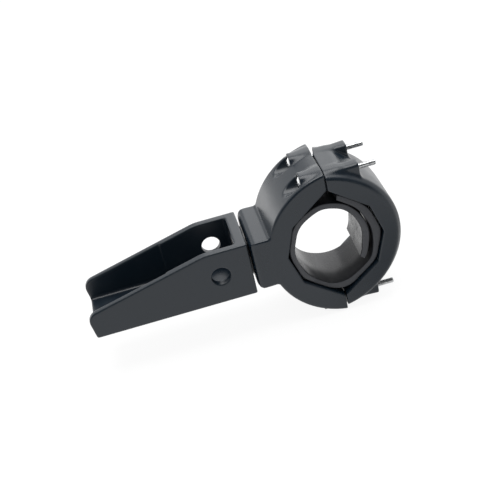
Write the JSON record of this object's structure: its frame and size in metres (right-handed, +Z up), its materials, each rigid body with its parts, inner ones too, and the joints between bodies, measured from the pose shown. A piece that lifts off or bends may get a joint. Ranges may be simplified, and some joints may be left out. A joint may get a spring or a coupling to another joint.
{
  "type": "fork clamp",
  "caption": "Tube clamp in two bowed halves drawn together by screws, lined with a rolled rubber strip, with a U-shaped fork that swivels on its stub.",
  "frame": {"origin": "middle of the tube passage, on the parting plane of the arm half", "axes": "+X along the clamp screws from the arm half to the cap, +Y along the clamped tube and away from the picture's viewer, +Z up; the fork points along -X"},
  "size_m": [0.2184, 0.0488, 0.1086],
  "materials": {
    "black_casting": "cast, with satin black powder coat",
    "black_rubber": "matt, moulded",
    "zinc_steel": "bright zinc plate",
    "black_steel": "black oxide",
    "nylon": "smooth, moulded"
  },
  "bodies": {
    "clamp_body": {"clamp_body": "black_casting", "rubber_liner": "black_rubber", "swivel_screw": "black_steel", "swivel_bush": "zinc_steel", "friction_disc": "nylon", "flat_washer_front_top": "zinc_steel", "flat_washer_back_top": "zinc_steel", "flat_washer_front_bottom": "zinc_steel", "flat_washer_back_bottom": "zinc_steel", "lock_washer_front_top": "zinc_steel", "lock_washer_back_top": "zinc_steel", "lock_washer_front_bottom": "zinc_steel", "lock_washer_back_bottom": "zinc_steel"},
    "clamp_cap": {"clamp_cap": "black_casting", "thread_insert_front_top": "zinc_steel", "thread_insert_back_top": "zinc_steel", "thread_insert_front_bottom": "zinc_steel", "thread_insert_back_bottom": "zinc_steel"},
    "fork": {"fork": "black_casting"},
    "clamp_screw_front_top": {"clamp_screw_front_top": "zinc_steel"},
    "clamp_screw_back_top": {"clamp_screw_back_top": "zinc_steel"},
    "clamp_screw_front_bottom": {"clamp_screw_front_bottom": "zinc_steel"},
    "clamp_screw_back_bottom": {"clamp_screw_back_bottom": "zinc_steel"}
  },
  "joints": [
    {"name": "cap_slide", "type": "slide", "parent": "clamp_body", "child": "clamp_cap", "axis": [1, 0, 0], "range_m": [0, 0.012]},
    {"name": "fork_swivel", "type": "hinge", "parent": "clamp_body", "child": "fork", "pos_m": [-0.058, 0, 0], "axis": [1, 0, 0], "continuous": true},
    {"name": "screw_turn_front_top", "type": "hinge", "parent": "clamp_body", "child": "clamp_screw_front_top", "pos_m": [0, -0.0143, 0.048], "axis": [1, 0, 0], "continuous": true},
    {"name": "screw_turn_back_top", "type": "hinge", "parent": "clamp_body", "child": "clamp_screw_back_top", "pos_m": [0, 0.0143, 0.048], "axis": [1, 0, 0], "continuous": true},
    {"name": "screw_turn_front_bottom", "type": "hinge", "parent": "clamp_body", "child": "clamp_screw_front_bottom", "pos_m": [0, -0.0143, -0.048], "axis": [1, 0, 0], "continuous": true},
    {"name": "screw_turn_back_bottom", "type": "hinge", "parent": "clamp_body", "child": "clamp_screw_back_bottom", "pos_m": [0, 0.0143, -0.048], "axis": [1, 0, 0], "continuous": true}
  ],
  "couplings": [
    {"joint": "screw_turn_front_top", "follows": "cap_slide", "rad_per_m": -8976},
    {"joint": "screw_turn_back_top", "follows": "cap_slide", "rad_per_m": -8976},
    {"joint": "screw_turn_front_bottom", "follows": "cap_slide", "rad_per_m": -8976},
    {"joint": "screw_turn_back_bottom", "follows": "cap_slide", "rad_per_m": -8976}
  ]
}
